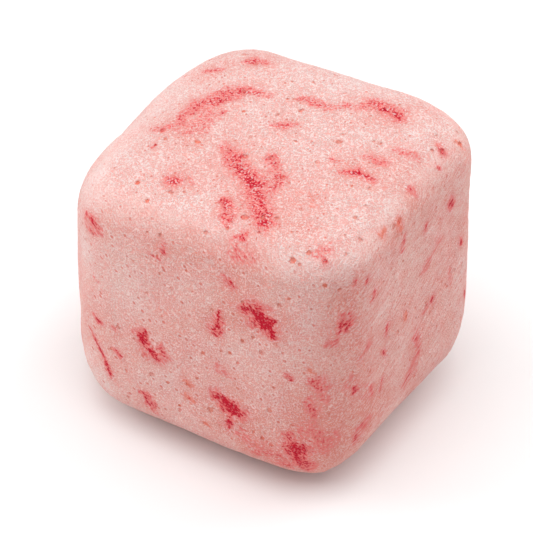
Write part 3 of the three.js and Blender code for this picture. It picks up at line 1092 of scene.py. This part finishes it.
# Strength and width change evenly along each leg of a path. The offset goes from the closest
# point of the strongest streak to the place, within the skin.
def stainMesh(mesh, marks):
    places = np.empty(len(mesh.vertices) * 3)
    normals = np.empty(len(mesh.vertices) * 3)
    mesh.vertices.foreach_get("co", places)
    mesh.vertices.foreach_get("normal", normals)
    normals = normals.reshape(-1, 3)
    places = warpedPlaces(places.reshape(-1, 3) / mm)
    stain = {name: np.zeros(len(places)) for name in (
        "halo", "orange", "blush", "pale", "streakWidth", "streakStrength", "streakDistance")}
    streakOffset = np.zeros((len(places), 3))
    for mark in marks:
        path = mark["path"]
        for start, end in zip(path, path[1:]):
            first, last = np.array(start[0]), np.array(end[0])
            leg = last - first
            middle = (first + last) / 2
            reachOut = max(start[1], end[1]) + streakStain["reach"] + np.linalg.norm(leg) / 2
            near = np.nonzero(np.linalg.norm(places - middle, axis=1) < reachOut)[0]
            offset = places[near] - first
            share = np.clip(offset @ leg / max(leg @ leg, nearZero), 0, 1)
            offset = offset - share[:, None] * leg
            offset -= normals[near] * (offset * normals[near]).sum(axis=1)[:, None]
            distance = np.linalg.norm(offset, axis=1)
            halfWidth = (start[1] * (1 - share) + end[1] * share) / 2
            strength = start[2] * (1 - share) + end[2] * share
            haloWidth = halfWidth * streakStain["haloWidths"] + streakStain["haloMargin"]
            glow = strength * np.exp(-((distance / haloWidth) ** 2))
            cloud = strength * np.exp(-((distance / (halfWidth + streakStain["blushMargin"])) ** 2))
            keep = 1 - streakStain["orangeLoss"] * mark["orange"]
            stronger = glow * keep > stain["halo"][near]
            nearer = near[stronger]
            streakOffset[nearer] = offset[stronger]
            stain["streakWidth"][nearer] = halfWidth[stronger]
            stain["streakStrength"][nearer] = strength[stronger] * keep
            stain["streakDistance"][nearer] = distance[stronger]
            stain["halo"][near] = np.maximum(stain["halo"][near], glow * keep)
            stain["orange"][near] = np.maximum(stain["orange"][near], glow * mark["orange"])
            blush = cloud * streakStain["blushShare"] * keep
            stain["blush"][near] = np.maximum(stain["blush"][near], blush)
    for name, clouds in (("blush", blushClouds), ("pale", paleClouds)):
        for x, y, radius, percent in sum(clouds.values(), []):
            middle = np.array(placeAtPixel(x, y))
            distance = np.linalg.norm(places - middle, axis=1) / (radius * pixelSize)
            stain[name] = 1 - (1 - stain[name]) * (1 - percent / 100 * np.exp(-(distance**2)))
    for name, value in stain.items():
        storeValues(mesh, name, value.astype(np.float32))
    made = mesh.attributes.new("streakOffset", "FLOAT_VECTOR", "POINT")
    made.data.foreach_set("vector", streakOffset.astype(np.float32).ravel())


def makeBite():
    marks = poreMarks()
    foam = foamMaterial()
    tree, identifiers, marksIdentifier, sizes = biteTree(marks, foam)
    holder = inScene("biteHolder", bpy.data.meshes.new("biteHolder"))
    modifier = holder.modifiers.new("yogurtBiteBody", "NODES")
    modifier.node_group = tree
    for name, identifier in identifiers.items():
        modifier[identifier] = float(sizes[name])
    modifier[marksIdentifier] = marks
    evaluated = holder.evaluated_get(bpy.context.evaluated_depsgraph_get())
    mesh = bpy.data.meshes.new_from_object(evaluated)
    holder.modifiers.remove(modifier)
    bpy.data.objects.remove(holder)
    bpy.data.objects.remove(marks)
    mesh.name = "yogurtBite"
    triangles = sum(len(face.vertices) - 2 for face in mesh.polygons)
    print("bite body:", len(mesh.vertices), "points", triangles, "triangles")
    stainMesh(mesh, visibleMarks() + hiddenMarks())
    print("marbling laid")
    return inScene("yogurtBite", mesh)


bite = makeBite()
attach(bite, "root")
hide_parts("yogurt_bite")

# Pale floor
floorSheet = {
    "size": 1200.0,
    "colour": (0.95, 0.95, 0.95),
    "mottle": (0.93, 0.93, 0.93),
    "mottleScale": 40.0,  # to the metre
    "mottleStep": (0.3, 0.7),
    "mottleShare": 0.15,
    "roughness": 0.8,
}


def makeFloor():
    half = floorSheet["size"] / 2 * mm
    mesh = bpy.data.meshes.new("paleFloor")
    corners = [(-half, -half, 0), (half, -half, 0), (half, half, 0), (-half, half, 0)]
    mesh.from_pydata(corners, [], [(0, 1, 2, 3)])
    material = bpy.data.materials.new("paleFloorPaint")
    bench = emptyBench(material)
    place = bench.add("ShaderNodeTexCoord", None, None, "Object")
    tone = bench.smooth(bench.noise(place, floorSheet["mottleScale"]), *floorSheet["mottleStep"])
    colour = bench.mix(tone * floorSheet["mottleShare"], rgba(floorSheet["colour"]),
                       rgba(floorSheet["mottle"]))
    shader = bench.add("ShaderNodeBsdfPrincipled", None, {
        "Base Color": colour, "Roughness": floorSheet["roughness"]})
    bench.add("ShaderNodeOutputMaterial", None, {"Surface": shader}, None)
    mesh.materials.append(material)
    return inScene("paleFloor", mesh)


makeFloor()
print("floor laid")

studioLight = {
    "worldStrength": 0.364,
    "top": {"power": 0.185, "size": 160.0, "azimuth": 32, "elevation": 79, "distance": 150.0},
    "left": {"power": 0.088, "size": 110.0, "azimuth": -68, "elevation": 24, "distance": 140.0},
    "right": {"power": 0.083, "size": 110.0, "azimuth": 152, "elevation": 24, "distance": 140.0},
    "front": {"power": 0.042, "size": 140.0, "azimuth": 34, "elevation": 22, "distance": 300.0},
}


# Soft studio light: white all round, a large panel over the bite, one behind each side and a
# weak one in front
def makePanel(name, panelLight):
    away = wayTo(panelLight["azimuth"], panelLight["elevation"])
    data = bpy.data.lights.new(name, "AREA")
    data.shape = "SQUARE"
    data.size = panelLight["size"] * mm
    data.energy = panelLight["power"]
    panel = inScene(name, data)
    panel.location = (Vector(photoView["target"]) + away * panelLight["distance"]) * mm
    panel.rotation_euler = away.to_track_quat("Z", "Y").to_euler()


def makeLight():
    world = bpy.data.worlds.new("studioWhite")
    bpy.context.scene.world = world
    bench = emptyBench(world)
    sky = bench.add("ShaderNodeBackground", None, {
        "Color": (1.0, 1.0, 1.0, 1.0), "Strength": studioLight["worldStrength"]})
    bench.add("ShaderNodeOutputWorld", None, {"Surface": sky}, None)
    for name in ("top", "left", "right", "front"):
        makePanel(f"{name}Panel", studioLight[name])
    bpy.context.scene.view_settings.view_transform = "Standard"
    bpy.context.scene.view_settings.look = "None"


makeLight()
print("studio lit")
